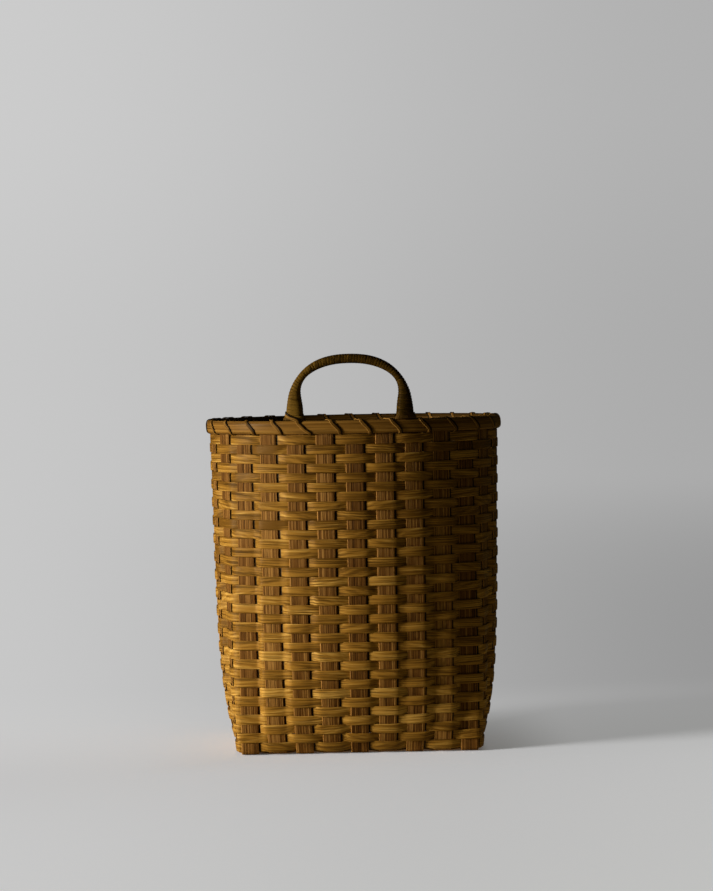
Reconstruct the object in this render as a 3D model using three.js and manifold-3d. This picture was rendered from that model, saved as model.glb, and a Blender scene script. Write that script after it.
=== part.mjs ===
// A pack basket woven from wood splints, with a laced hoop rim and a bound carrying handle.
// Sizes are millimetres. +Z is up, and -Y is the side that carries the handle.
import * as THREE from "three";
import { mergeVertices } from "three/addons/utils/BufferGeometryUtils.js";
import Module from "manifold-3d";

// Clearance between pieces that touch on the real basket
const FIT = 0.3;

// Splints
const STAKE_WIDTH = 19;
const STAKE_THICKNESS = 1.2;
const WEAVER_WIDTH = 9.5;
const WEAVER_THICKNESS = 0.8;
const ROWS = 34;
const ROW_SPACE = 0.65;

// Base: long strips run from front to back, cross strips from side to side
const LONG_STRIPS = 9;
const CROSS_STRIPS = 5;
const BASE_PITCH = 30;
const CORNER_WIDTH = 4.5;
const CORNER_DEPTH = 8.5;
const BEND_HEIGHT = 3;
const BEND_FULLNESS = 0.4;

// Mouth: an oval on the middle surface of the stakes
const MOUTH_HALF_WIDTH = 159.5;
const MOUTH_HALF_DEPTH = 120;
const MOUTH_SQUARENESS = 2.15;

// Side curve: part of the flare happens close to the floor, the rest is spread evenly
const FOOT_CURVE_HEIGHT = 45;
const FOOT_CURVE_SHARE = 0.8;

// Rim
const HOOP_HEIGHT = 14.3;
const HOOP_ROUNDING = 2.6;
const OUTER_HOOP_THICKNESS = 4;
const INNER_HOOP_THICKNESS = 6;
const STAKE_TOP_DROP = 1;
const LASH_WIDTH = 4.4;
const LASH_THICKNESS = 0.8;
const LASH_LEAN = 7.4;

// Handle: it stands a little to the left of the basket's middle
const HANDLE_STAKE = 2;
const HANDLE_SHIFT = -4.1;
const HANDLE_RISE = 65.3;
const HANDLE_HALF_WIDTH = 58.8;
const HANDLE_LEG_RISE = 22;
const HANDLE_SQUARENESS = 2.25;
const GRIP_THICKNESS = 8.6;
const GRIP_DEPTH = 14;
const GRIP_CHAMFER_SHARE = 0.45;
const SHOULDER_THICKNESS = 6.6;
const SHOULDER_RISE = 48;
const FOOT_SPREAD = 59.3;
const FOOT_WIDTH = 16.6;
const FOOT_HEIGHT = 6;
const TAIL_WIDTH = 9;
const TAIL_THICKNESS = 3;
const TAIL_LENGTH = 34;
const TAIL_TIP_WIDTH = 6;
const TAIL_TIP_THICKNESS = 1.6;
const BINDING_THICKNESS = 0.7;
const BINDING_END_RISE = 6;

const STAKE_COUNT = 2 * (LONG_STRIPS + CROSS_STRIPS);
const HALF_STAKE = STAKE_THICKNESS / 2;
const STAKE_CLEAR = HALF_STAKE + FIT;
const ROW_PITCH = WEAVER_WIDTH + ROW_SPACE;

// Heights: two layers of strips lie on the floor, then the bend, the rows, a slot for the lash, the hoops
const LOWER_LAYER_Z = HALF_STAKE;
const UPPER_LAYER_Z = LOWER_LAYER_Z + STAKE_THICKNESS + FIT;
const WALL_BOTTOM_Z = UPPER_LAYER_Z + BEND_HEIGHT;
const WALL_TOP_Z = WALL_BOTTOM_Z + ROWS * ROW_PITCH;
const LASH_SLOT = LASH_THICKNESS + 2 * FIT;
const RIM_BOTTOM_Z = WALL_TOP_Z + LASH_SLOT;
const RIM_TOP_Z = RIM_BOTTOM_Z + HOOP_HEIGHT;

// Where the middle of a row of pieces lies, counted from its first piece
function middleOf(count) {
  return (count - 1) / 2;
}

const group = new THREE.Group();

function woodMaterial(color, roughness) {
  return new THREE.MeshStandardMaterial({ color, roughness, metalness: 0 });
}

const stakeWood = woodMaterial(0x8f5a2c, 0.55);
const weaverWood = woodMaterial(0xb98446, 0.5);
const rimWood = woodMaterial(0x8a6038, 0.5);
const lashWood = woodMaterial(0xa3733f, 0.5);
const handleWood = woodMaterial(0x5b4227, 0.55);
const bindingCane = woodMaterial(0x6a5233, 0.6);

// Joins sections, each the same number of points in the same order, into one closed body.
// A ring closes on its first section, and an open run gets a flat cap at both ends.
function loft(sections, ring) {
  const sides = sections[0].length;
  const positions = [];
  const triangle = (a, b, c) => {
    for (const p of [a, b, c]) positions.push(p.x, p.y, p.z);
  };
  const spans = ring ? sections.length : sections.length - 1;
  for (let i = 0; i < spans; i++) {
    const near = sections[i];
    const far = sections[(i + 1) % sections.length];
    for (let j = 0; j < sides; j++) {
      const next = (j + 1) % sides;
      triangle(near[j], near[next], far[next]);
      triangle(near[j], far[next], far[j]);
    }
  }
  if (!ring) {
    const first = sections[0];
    const last = sections[sections.length - 1];
    for (let j = 1; j < sides - 1; j++) {
      triangle(first[0], first[j + 1], first[j]);
      triangle(last[0], last[j], last[j + 1]);
    }
  }
  return outward(positions);
}

// Turns every triangle over when the body came out inside out
function outward(positions) {
  let volume = 0;
  const a = new THREE.Vector3();
  const b = new THREE.Vector3();
  const c = new THREE.Vector3();
  for (let i = 0; i < positions.length; i += 9) {
    a.fromArray(positions, i);
    b.fromArray(positions, i + 3);
    c.fromArray(positions, i + 6);
    volume += a.dot(b.cross(c));
  }
  if (volume < 0) {
    for (let i = 0; i < positions.length; i += 9) {
      const second = positions.slice(i + 3, i + 6);
      positions.splice(i + 3, 3, ...positions.slice(i + 6, i + 9));
      positions.splice(i + 6, 3, ...second);
    }
  }
  const geometry = new THREE.BufferGeometry();
  geometry.setAttribute("position", new THREE.Float32BufferAttribute(positions, 3));
  const merged = mergeVertices(geometry, 1e-4);
  merged.computeVertexNormals();
  return merged;
}

function addMesh(name, geometry, material) {
  const mesh = new THREE.Mesh(geometry, material);
  mesh.name = name;
  group.add(mesh);
}

// Stake 0 is the middle of the handle side, and the numbers run on toward +X and round the basket.
// The base layout keeps the stakes in straight rows on the four sides.
function baseStakes() {
  const halfWidth = middleOf(LONG_STRIPS) * BASE_PITCH + STAKE_WIDTH / 2 + CORNER_WIDTH;
  const halfDepth = middleOf(CROSS_STRIPS) * BASE_PITCH + STAKE_WIDTH / 2 + CORNER_DEPTH;
  const stakes = [];
  const side = (count, origin, along) => {
    for (let i = 0; i < count; i++) {
      const place = (i - middleOf(count)) * BASE_PITCH;
      stakes.push({ center: origin.clone().addScaledVector(along, place), along });
    }
  };
  side(LONG_STRIPS, new THREE.Vector2(0, -halfDepth), new THREE.Vector2(1, 0));
  side(CROSS_STRIPS, new THREE.Vector2(halfWidth, 0), new THREE.Vector2(0, 1));
  side(LONG_STRIPS, new THREE.Vector2(0, halfDepth), new THREE.Vector2(-1, 0));
  side(CROSS_STRIPS, new THREE.Vector2(-halfWidth, 0), new THREE.Vector2(0, -1));
  const first = middleOf(LONG_STRIPS);
  return stakes.slice(first).concat(stakes.slice(0, first));
}

// The mouth layout spaces the stakes evenly round a superellipse.
function mouthStakes() {
  const steps = 2880;
  const spread = 3;
  const power = 2 / MOUTH_SQUARENESS;
  const curve = (t) => {
    const x = Math.sin(t);
    const y = -Math.cos(t);
    return new THREE.Vector2(
      MOUTH_HALF_WIDTH * Math.sign(x) * Math.abs(x) ** power,
      MOUTH_HALF_DEPTH * Math.sign(y) * Math.abs(y) ** power,
    );
  };
  const points = [curve(0)];
  const lengths = [0];
  for (let i = 1; i <= steps; i++) {
    points.push(curve((2 * Math.PI * i) / steps));
    lengths.push(lengths[i - 1] + points[i].distanceTo(points[i - 1]));
  }
  const stakes = [];
  let i = 0;
  for (let k = 0; k < STAKE_COUNT; k++) {
    const reach = (lengths[steps] * k) / STAKE_COUNT;
    while (lengths[i + 1] < reach) i++;
    const share = (reach - lengths[i]) / (lengths[i + 1] - lengths[i]);
    const center = points[i].clone().lerp(points[i + 1], share);
    const before = points[(i - spread + steps) % steps];
    const after = points[(i + 1 + spread) % steps];
    stakes.push({ center, along: after.clone().sub(before).normalize() });
  }
  return stakes;
}

const baseLayout = baseStakes();
const mouthLayout = mouthStakes();

// Share of the way from the base outline to the mouth outline at a height
function flare(z) {
  const curve = (h) => 1 - Math.exp(-h / FOOT_CURVE_HEIGHT);
  const early = curve(z - WALL_BOTTOM_Z) / curve(WALL_TOP_Z - WALL_BOTTOM_Z);
  return FOOT_CURVE_SHARE * early + (1 - FOOT_CURVE_SHARE) * climb(z);
}

function climb(z) {
  return (z - WALL_BOTTOM_Z) / (WALL_TOP_Z - WALL_BOTTOM_Z);
}

// The stakes bend only in the spaces between rows, closer together where the side curves most.
function bendHeights() {
  const heights = [];
  let row = 0;
  for (let bend = 1; row < ROWS; bend++) {
    heights.push(WALL_BOTTOM_Z + row * ROW_PITCH);
    row += Math.ceil(bend / 2);
  }
  heights.push(WALL_TOP_Z);
  return heights;
}

const levels = bendHeights().map((z) => ({
  z,
  stakes: baseLayout.map((base, k) => {
    const mouth = mouthLayout[k];
    const center = base.center.clone().lerp(mouth.center, flare(z));
    const turn = Math.atan2(base.along.cross(mouth.along), base.along.dot(mouth.along));
    const along = base.along.clone().rotateAround(new THREE.Vector2(), turn * climb(z));
    const start = center.clone().addScaledVector(along, -STAKE_WIDTH / 2);
    const end = center.clone().addScaledVector(along, STAKE_WIDTH / 2);
    return { start, end };
  }),
}));

// One stake's middle surface at a height: its two edges, its middle, the outward direction, and how far
// the crease across a twisted panel stands out from the straight line between the edges.
// Above the last row the wall is upright.
function wallAt(stake, z) {
  const k = ((stake % STAKE_COUNT) + STAKE_COUNT) % STAKE_COUNT;
  const clamped = Math.min(z, WALL_TOP_Z);
  let i = 0;
  while (i < levels.length - 2 && levels[i + 1].z < clamped) i++;
  const low = levels[i].stakes[k];
  const high = levels[i + 1].stakes[k];
  const share = (clamped - levels[i].z) / (levels[i + 1].z - levels[i].z);
  const start = low.start.clone().lerp(high.start, share);
  const end = low.end.clone().lerp(high.end, share);
  const along = end.clone().sub(start).normalize();
  const out = new THREE.Vector2(along.y, -along.x);
  const middle = start.clone().lerp(end, 0.5);
  const rising = low.start.clone().lerp(high.end, share).sub(start).dot(out);
  const falling = low.end.clone().lerp(high.start, share).sub(start).dot(out);
  const crease = Math.max(Math.abs(rising), Math.abs(falling));
  return { k, start, end, middle, along, out, crease };
}

function lifted(point, out, offset, z) {
  return new THREE.Vector3(point.x + out.x * offset, point.y + out.y * offset, z);
}

// Stakes: 14 strips, each woven into the base and turned up at both ends
function baseSection(along, place, offset, z) {
  const half = STAKE_WIDTH / 2;
  const across = new THREE.Vector2(-along.y, along.x);
  const point = (side, rise) => new THREE.Vector3(
    along.x * place + across.x * (offset + side * half),
    along.y * place + across.y * (offset + side * half),
    z + rise * HALF_STAKE,
  );
  return [point(-1, -1), point(1, -1), point(1, 1), point(-1, 1)];
}

// Sections up one wall, from the bend to the stake's top. Points run start to end on the outer face first.
function wallSections(stake) {
  const heights = levels.map((level) => level.z);
  heights.push(RIM_TOP_Z - STAKE_TOP_DROP);
  return heights.map((z) => {
    const { start, end, out } = wallAt(stake, z);
    return [
      lifted(start, out, HALF_STAKE, z),
      lifted(end, out, HALF_STAKE, z),
      lifted(end, out, -HALF_STAKE, z),
      lifted(start, out, -HALF_STAKE, z),
    ];
  });
}

// The bend: one section half way round the fold between the base and the wall
function bendSection(flat, upright) {
  return flat.map((point, i) => {
    const corner = new THREE.Vector3(upright[i].x, upright[i].y, point.z);
    const chord = point.clone().lerp(upright[i], 0.5);
    return chord.lerp(corner, BEND_FULLNESS);
  });
}

function addStrip(name, along, index, ownCount, crossCount, startStake, endStake, upperFirst) {
  const offset = (index - middleOf(ownCount)) * BASE_PITCH;
  const half = STAKE_WIDTH / 2;
  const sections = [];
  for (let j = 0; j < crossCount; j++) {
    const crossing = (j - middleOf(crossCount)) * BASE_PITCH;
    const z = (index + j) % 2 === upperFirst ? UPPER_LAYER_Z : LOWER_LAYER_Z;
    sections.push(baseSection(along, crossing - half, offset, z));
    sections.push(baseSection(along, crossing + half, offset, z));
  }
  const startWall = wallSections(startStake).map(([a, b, c, d]) => [b, a, d, c]);
  const endWall = wallSections(endStake);
  const first = bendSection(sections[0], startWall[0]);
  const last = bendSection(sections[sections.length - 1], endWall[0]);
  const all = [...startWall.reverse(), first, ...sections, last, ...endWall];
  addMesh(name, loft(all, false), stakeWood);
}

for (let i = 0; i < LONG_STRIPS; i++) {
  const fromMiddle = i - middleOf(LONG_STRIPS);
  const along = new THREE.Vector2(0, 1);
  const mirrored = LONG_STRIPS - 1 - i;
  const backStake = STAKE_COUNT / 2 - fromMiddle;
  addStrip(`long_stake_${i + 1}`, along, mirrored, LONG_STRIPS, CROSS_STRIPS, fromMiddle, backStake, 1);
}

for (let j = 0; j < CROSS_STRIPS; j++) {
  const fromMiddle = j - middleOf(CROSS_STRIPS);
  const along = new THREE.Vector2(1, 0);
  const rightStake = STAKE_COUNT / 4 + fromMiddle;
  const leftStake = (3 * STAKE_COUNT) / 4 - fromMiddle;
  addStrip(`cross_stake_${j + 1}`, along, j, CROSS_STRIPS, LONG_STRIPS, leftStake, rightStake, 0);
}

// Weavers: one ring a row, over one stake and under the next, and the other way in the next row
const WEAVER_CLEAR = FIT + WEAVER_THICKNESS / 2;
const OVER = HALF_STAKE + WEAVER_CLEAR;

// The direction in which a path is thick at one of its points, long enough to keep both faces parallel
function miter(points, i) {
  const before = points[(i - 1 + points.length) % points.length];
  const after = points[(i + 1) % points.length];
  const arriving = points[i].clone().sub(before).normalize();
  const leaving = after.clone().sub(points[i]).normalize();
  const facing = new THREE.Vector2(arriving.y, -arriving.x);
  const bisector = facing.clone().add(new THREE.Vector2(leaving.y, -leaving.x)).normalize();
  return bisector.divideScalar(bisector.dot(facing));
}

// How deep a weaver lies at the middle of a stake that it passes inside, so that its outer face, on the
// straight way from the given point, clears the stake's edge
function underDepth(wall, point) {
  const relative = point.clone().sub(wall.middle);
  const share = STAKE_WIDTH / 2 / Math.abs(relative.dot(wall.along));
  const depth = (STAKE_CLEAR + relative.dot(wall.out) * share) / (1 - share);
  return Math.max(depth + WEAVER_THICKNESS / 2, OVER) + wall.crease;
}

// A weaver's middle line at each of the given heights: a point at both edges of each stake that it passes
// outside, and one at the middle of each stake that it passes inside, equally deep at every height
function weaverPaths(heights, overParity) {
  const stations = [];
  for (let k = 0; k < STAKE_COUNT; k++) {
    if (k % 2 === overParity) {
      stations.push({ k, edge: "start" }, { k, edge: "end" });
    } else {
      stations.push({ k });
    }
  }
  const count = stations.length;
  const paths = heights.map((z) => stations.map(({ k, edge }) => {
    const wall = wallAt(k, z);
    if (!edge) return { wall, point: wall.middle.clone().addScaledVector(wall.out, -OVER) };
    const corner = wall[edge].clone().addScaledVector(wall.out, HALF_STAKE + wall.crease);
    return { wall, corner, point: corner.clone().addScaledVector(wall.out, WEAVER_CLEAR) };
  }));
  const passes = 4;
  for (let pass = 0; pass < passes; pass++) {
    for (const path of paths) {
      const points = path.map(({ point }) => point);
      path.forEach((place, i) => {
        place.thick = miter(points, i);
        if (place.corner) place.point = place.corner.clone().addScaledVector(place.thick, WEAVER_CLEAR);
      });
    }
    const face = ({ point, thick }) => point.clone().addScaledVector(thick, WEAVER_THICKNESS / 2);
    stations.forEach(({ edge }, i) => {
      if (edge) return;
      const depth = Math.max(...paths.map((path) => Math.max(
        underDepth(path[i].wall, face(path[(i - 1 + count) % count])),
        underDepth(path[i].wall, face(path[(i + 1) % count])),
      )));
      for (const path of paths) {
        path[i].depth = depth;
        path[i].point = path[i].wall.middle.clone().addScaledVector(path[i].wall.out, -depth);
      }
    });
  }
  return paths;
}

function addWeaver(row) {
  const low = WALL_BOTTOM_Z + row * ROW_PITCH + ROW_SPACE / 2;
  const high = low + WEAVER_WIDTH;
  const rowFromTop = ROWS - row;
  const overParity = (rowFromTop + 1) % 2;
  const half = WEAVER_THICKNESS / 2;
  const [lowPath, highPath] = weaverPaths([low, high], overParity);
  const sections = lowPath.map((bottom, i) => {
    const top = highPath[i];
    return [
      lifted(bottom.point, bottom.thick, -half, low),
      lifted(bottom.point, bottom.thick, half, low),
      lifted(top.point, top.thick, half, high),
      lifted(top.point, top.thick, -half, high),
    ];
  });
  addMesh(`weaver_${String(rowFromTop).padStart(2, "0")}`, loft(sections, true), weaverWood);
}

for (let row = 0; row < ROWS; row++) addWeaver(row);

// Rim: two bent hoops hold the stake tops between them. Each is flat toward the stakes and rounded away.
function hoopSections(inner, outer) {
  const sign = Math.sign(outer - inner);
  const shoulder = outer - sign * HOOP_ROUNDING;
  const profile = [
    [inner, RIM_BOTTOM_Z],
    [shoulder, RIM_BOTTOM_Z],
    [outer, RIM_BOTTOM_Z + HOOP_ROUNDING],
    [outer, RIM_TOP_Z - HOOP_ROUNDING],
    [shoulder, RIM_TOP_Z],
    [inner, RIM_TOP_Z],
  ];
  const sections = [];
  for (let k = 0; k < STAKE_COUNT; k++) {
    const { start, end, out } = wallAt(k, RIM_TOP_Z);
    sections.push(profile.map(([offset, z]) => lifted(start, out, offset, z)));
    sections.push(profile.map(([offset, z]) => lifted(end, out, offset, z)));
  }
  return sections;
}

const OUTER_FACE = STAKE_CLEAR + OUTER_HOOP_THICKNESS;
const INNER_FACE = -STAKE_CLEAR - INNER_HOOP_THICKNESS;
addMesh("outer_hoop", loft(hoopSections(STAKE_CLEAR, OUTER_FACE), true), rimWood);

const RIM_MIDDLE = (OUTER_FACE + INNER_FACE) / 2;

// A foot of the handle, on the side toward -X (-1) or +X (1), in the frame of the stake that it stands by:
// its centre, and how far along from the stake's middle its tail goes down, which keeps behind the stake
function handleFoot(side) {
  const stake = side * HANDLE_STAKE;
  const { middle, along, out } = wallAt(stake, RIM_TOP_Z);
  const onRim = middle.clone().addScaledVector(out, RIM_MIDDLE);
  const aside = (HANDLE_SHIFT + side * FOOT_SPREAD - onRim.x) / along.x;
  const most = (STAKE_WIDTH - TAIL_WIDTH) / 2 - FIT;
  return {
    stake,
    out,
    center: onRim.addScaledVector(along, aside),
    tailAside: Math.min(Math.max(aside, -most), most),
  };
}

const leftFoot = handleFoot(-1);
const rightFoot = handleFoot(1);

// Box sections in a stake's own frame, for the handle's tails and the notches that they sit in
function tailSection(foot, halfWidth, outerOffset, innerOffset, z) {
  const { middle, along, out } = wallAt(foot.stake, z);
  const corner = (side, offset) => {
    const edge = middle.clone().addScaledVector(along, foot.tailAside + side * halfWidth);
    return lifted(edge, out, offset, z);
  };
  return [corner(-1, outerOffset), corner(1, outerOffset), corner(1, innerOffset), corner(-1, innerOffset)];
}

const TAIL_OUTER = -STAKE_CLEAR;
const TAIL_INNER = TAIL_OUTER - TAIL_THICKNESS;

const wasm = await Module();
wasm.setup();

function toSolid(geometry) {
  const plain = new THREE.BufferGeometry();
  plain.setAttribute("position", geometry.getAttribute("position"));
  plain.setIndex(geometry.getIndex());
  const merged = mergeVertices(plain, 1e-4);
  const vertProperties = new Float32Array(merged.getAttribute("position").array);
  const triVerts = new Uint32Array(merged.getIndex().array);
  return new wasm.Manifold(new wasm.Mesh({ numProp: 3, vertProperties, triVerts }));
}

function toGeometry(solid) {
  const mesh = solid.getMesh();
  const geometry = new THREE.BufferGeometry();
  geometry.setAttribute("position", new THREE.BufferAttribute(mesh.vertProperties, 3));
  geometry.setIndex(new THREE.BufferAttribute(mesh.triVerts, 1));
  geometry.computeVertexNormals();
  return geometry;
}

function notch(foot) {
  const halfWidth = TAIL_WIDTH / 2 + FIT;
  const deep = TAIL_INNER - FIT;
  const beyond = 1;
  const shallow = TAIL_OUTER + STAKE_CLEAR;
  return toSolid(loft([
    tailSection(foot, halfWidth, shallow, deep, RIM_BOTTOM_Z - beyond),
    tailSection(foot, halfWidth, shallow, deep, RIM_TOP_Z + beyond),
  ], false));
}

const innerHoop = toSolid(loft(hoopSections(-STAKE_CLEAR, INNER_FACE), true))
  .subtract(notch(leftFoot))
  .subtract(notch(rightFoot));
addMesh("inner_hoop", toGeometry(innerHoop), rimWood);

// Rim lashing: one splint wound round both hoops, once in each space between two stakes.
// Outside it climbs back across the space, and inside it runs down behind the next stake.
const LASH_CLEAR = FIT + LASH_THICKNESS / 2;

function lashCorner(k, offset, sideways, z, inward, upward) {
  const from = wallAt(k, RIM_TOP_Z);
  const to = wallAt(k + 1, RIM_TOP_Z);
  const a = lifted(from.end, from.out, offset, z);
  const b = lifted(to.start, to.out, offset, z);
  const along = b.clone().sub(a).normalize();
  const out = new THREE.Vector3(along.y, -along.x, 0);
  const center = a.clone().lerp(b, 0.5).addScaledVector(along, sideways);
  const slant = Math.hypot(LASH_LEAN, HOOP_HEIGHT) / HOOP_HEIGHT;
  const halfWidth = (LASH_WIDTH * slant) / 2;
  const half = LASH_THICKNESS / 2;
  const point = (side, layer) => center.clone()
    .addScaledVector(along, side * halfWidth)
    .addScaledVector(out, layer * half * inward)
    .add(new THREE.Vector3(0, 0, layer * half * upward));
  return [point(-1, -1), point(1, -1), point(1, 1), point(-1, 1)];
}

function lashSections() {
  const sections = [];
  const outside = OUTER_FACE + LASH_CLEAR;
  const inside = INNER_FACE - LASH_CLEAR;
  const top = RIM_TOP_Z + LASH_CLEAR;
  const bottom = RIM_BOTTOM_Z - LASH_CLEAR;
  for (let k = STAKE_COUNT - 1; k >= 0; k--) {
    sections.push(lashCorner(k, inside, LASH_LEAN / 2, bottom, -1, -1));
    sections.push(lashCorner(k, outside, LASH_LEAN / 2, bottom, 1, -1));
    sections.push(lashCorner(k, outside, -LASH_LEAN / 2, top, 1, 1));
    sections.push(lashCorner(k, inside, -LASH_LEAN / 2, top, -1, 1));
  }
  return sections;
}

addMesh("rim_lashing", loft(lashSections(), true), lashWood);

// Handle: a bent bow whose feet stand on the rim, with a thin tail below each foot that hooks under the
// inner hoop and lies against the inside of the weave
const FOOT_DEPTH = OUTER_FACE - INNER_FACE;
const BOW_BOTTOM_Z = RIM_TOP_Z + FIT;

// Half of the bow's centre line, counted from its own middle, as places from the foot (0) to the crown (1)
const LEG_SHARE = 0.4;
const LEG_STEPS = 3;
const ARCH_STEPS = 9;

function bowPlace(t) {
  if (t < LEG_SHARE) {
    const risen = t / LEG_SHARE;
    return {
      x: HANDLE_HALF_WIDTH + (FOOT_SPREAD - HANDLE_HALF_WIDTH) * (1 - risen) ** 2,
      rise: HANDLE_LEG_RISE * risen,
    };
  }
  const turn = ((t - LEG_SHARE) / (1 - LEG_SHARE)) * (Math.PI / 2);
  const power = 2 / HANDLE_SQUARENESS;
  return {
    x: HANDLE_HALF_WIDTH * Math.max(Math.cos(turn), 0) ** power,
    rise: HANDLE_LEG_RISE + (HANDLE_RISE - HANDLE_LEG_RISE) * Math.sin(turn) ** power,
  };
}

function smooth(value) {
  const t = Math.min(Math.max(value, 0), 1);
  return t * t * (3 - 2 * t);
}

// An eight-sided section of the bow. It narrows from the foot to the shoulder and is thicker again at the
// crown. grow is how far its faces lie outside the bow's own.
function bowSection(t, side, grow) {
  const step = 0.01;
  const here = bowPlace(t);
  const before = bowPlace(Math.max(t - step, 0));
  const after = bowPlace(Math.min(t + step, 1));
  const tangent = new THREE.Vector3(side * (after.x - before.x), 0, after.rise - before.rise).normalize();
  if (t >= 1) tangent.set(-side, 0, 0);
  if (t <= 0) tangent.set(0, 0, 1);
  const foot = side < 0 ? leftFoot : rightFoot;
  const facing = new THREE.Vector3(foot.out.x, foot.out.y, 0);
  facing.lerp(new THREE.Vector3(0, -1, 0), smooth(here.rise / SHOULDER_RISE)).normalize();
  const across = new THREE.Vector3().crossVectors(tangent, facing).normalize();
  const footSpread = 1 - smooth((here.rise - FOOT_HEIGHT) / (SHOULDER_RISE - FOOT_HEIGHT));
  const crowning = smooth((here.rise - SHOULDER_RISE) / (HANDLE_RISE - SHOULDER_RISE));
  const grip = SHOULDER_THICKNESS + (GRIP_THICKNESS - SHOULDER_THICKNESS) * crowning;
  const halfAcross = (grip + (FOOT_WIDTH - SHOULDER_THICKNESS) * footSpread) / 2 + grow;
  const halfDepth = (GRIP_DEPTH + (FOOT_DEPTH - GRIP_DEPTH) * footSpread) / 2 + grow;
  const x = HANDLE_SHIFT + side * here.x;
  const share = (x - leftFoot.center.x) / (rightFoot.center.x - leftFoot.center.x);
  const y = THREE.MathUtils.lerp(leftFoot.center.y, rightFoot.center.y, share);
  const center = new THREE.Vector3(x, y, BOW_BOTTOM_Z + here.rise);
  const cut = Math.min(halfAcross, halfDepth) * GRIP_CHAMFER_SHARE;
  const corners = [
    [halfAcross, halfDepth - cut], [halfAcross - cut, halfDepth],
    [cut - halfAcross, halfDepth], [-halfAcross, halfDepth - cut],
    [-halfAcross, cut - halfDepth], [cut - halfAcross, -halfDepth],
    [halfAcross - cut, -halfDepth], [halfAcross, cut - halfDepth],
  ];
  return corners.map(([a, d]) => center.clone().addScaledVector(across, a).addScaledVector(facing, d));
}

function bowSections(places, grow) {
  const right = places.map((t) => bowSection(t, 1, grow));
  const left = places.slice(0, -1).reverse().map((t) => {
    const section = bowSection(t, -1, grow);
    return section.slice(0, 4).reverse().concat(section.slice(4).reverse());
  });
  return right.concat(left);
}

// Places along half the bow, with one where the binding starts
const bindingStart = (LEG_SHARE * BINDING_END_RISE) / HANDLE_LEG_RISE;
const legStep = (LEG_SHARE - bindingStart) / LEG_STEPS;
const archStep = (1 - LEG_SHARE) / ARCH_STEPS;
const bowPlaces = [0];
for (let i = 0; i < LEG_STEPS; i++) bowPlaces.push(bindingStart + legStep * i);
for (let i = 0; i <= ARCH_STEPS; i++) bowPlaces.push(LEG_SHARE + archStep * i);

// A tail's way down by its foot's stake: through the notch, inward under the hoop, then along the weave
function tail(foot) {
  const half = TAIL_WIDTH / 2;
  const weaveTop = WALL_TOP_Z - ROW_SPACE / 2;
  const number = (foot.stake + STAKE_COUNT) % STAKE_COUNT;
  const [path] = weaverPaths([weaveTop, weaveTop - TAIL_LENGTH], (number + 1) % 2);
  const { depth } = path.find(({ wall, corner }) => !corner && wall.k === number);
  const behindWeave = -depth - WEAVER_THICKNESS / 2 - FIT;
  const tip = behindWeave - TAIL_TIP_THICKNESS;
  const heel = Math.min(tip, TAIL_INNER - TAIL_TIP_THICKNESS);
  const hookTop = RIM_BOTTOM_Z - FIT;
  const hookBottom = weaveTop + FIT;
  const middle = (hookTop + hookBottom) / 2;
  return toSolid(loft([
    tailSection(foot, half, TAIL_OUTER, TAIL_INNER, BOW_BOTTOM_Z + FOOT_HEIGHT / 2),
    tailSection(foot, half, TAIL_OUTER, TAIL_INNER, hookTop),
    tailSection(foot, half, TAIL_OUTER, heel, middle),
    tailSection(foot, half, behindWeave, heel, hookBottom),
    tailSection(foot, TAIL_TIP_WIDTH / 2, behindWeave, tip, hookBottom - TAIL_LENGTH),
  ], false));
}

const bow = toSolid(loft(bowSections(bowPlaces, 0), false))
  .add(tail(leftFoot))
  .add(tail(rightFoot));
addMesh("handle_bow", toGeometry(bow), handleWood);

// Binding: a close winding of fine cane, as a sleeve round the bow from above one foot to above the other
const bindingOuter = bowSections(bowPlaces.filter((t) => t >= bindingStart), FIT + BINDING_THICKNESS);
const bindingInner = bowSections(bowPlaces, FIT);
const binding = toSolid(loft(bindingOuter, false)).subtract(toSolid(loft(bindingInner, false)));
addMesh("handle_binding", toGeometry(binding), bindingCane);

export default group;
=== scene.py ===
"""A pack basket woven from wood splints, with a laced rim and a wound carrying handle. Metres, +Z up."""

import math

import bpy
import numpy as np
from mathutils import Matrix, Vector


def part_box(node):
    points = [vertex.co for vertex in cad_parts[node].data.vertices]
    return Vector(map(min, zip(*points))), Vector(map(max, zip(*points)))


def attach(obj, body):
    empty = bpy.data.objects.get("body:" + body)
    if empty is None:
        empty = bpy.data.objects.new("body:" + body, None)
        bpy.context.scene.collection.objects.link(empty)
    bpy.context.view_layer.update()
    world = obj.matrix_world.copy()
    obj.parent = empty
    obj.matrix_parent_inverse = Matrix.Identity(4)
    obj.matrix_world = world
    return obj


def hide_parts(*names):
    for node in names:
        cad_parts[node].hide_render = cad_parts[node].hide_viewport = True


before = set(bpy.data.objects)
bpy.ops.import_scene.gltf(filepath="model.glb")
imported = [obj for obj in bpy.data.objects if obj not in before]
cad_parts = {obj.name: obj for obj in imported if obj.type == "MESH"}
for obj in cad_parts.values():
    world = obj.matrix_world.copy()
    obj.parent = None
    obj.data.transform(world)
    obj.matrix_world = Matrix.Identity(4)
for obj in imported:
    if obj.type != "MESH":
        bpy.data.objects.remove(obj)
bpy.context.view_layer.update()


# Camera
# It looks at the side with the handle from a little above the rim, with a long lens and a slight roll.
lens = bpy.data.cameras.new("camera")
lens.sensor_width = 36
lens.lens = 86.41
camera = bpy.data.objects.new("camera", lens)
camera.location = (-0.0114, -2.400, 0.4307)
camera.rotation_euler = [math.radians(angle) for angle in (87.684, 1.12, -0.388)]
bpy.context.scene.collection.objects.link(camera)
bpy.context.scene.camera = camera


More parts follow.
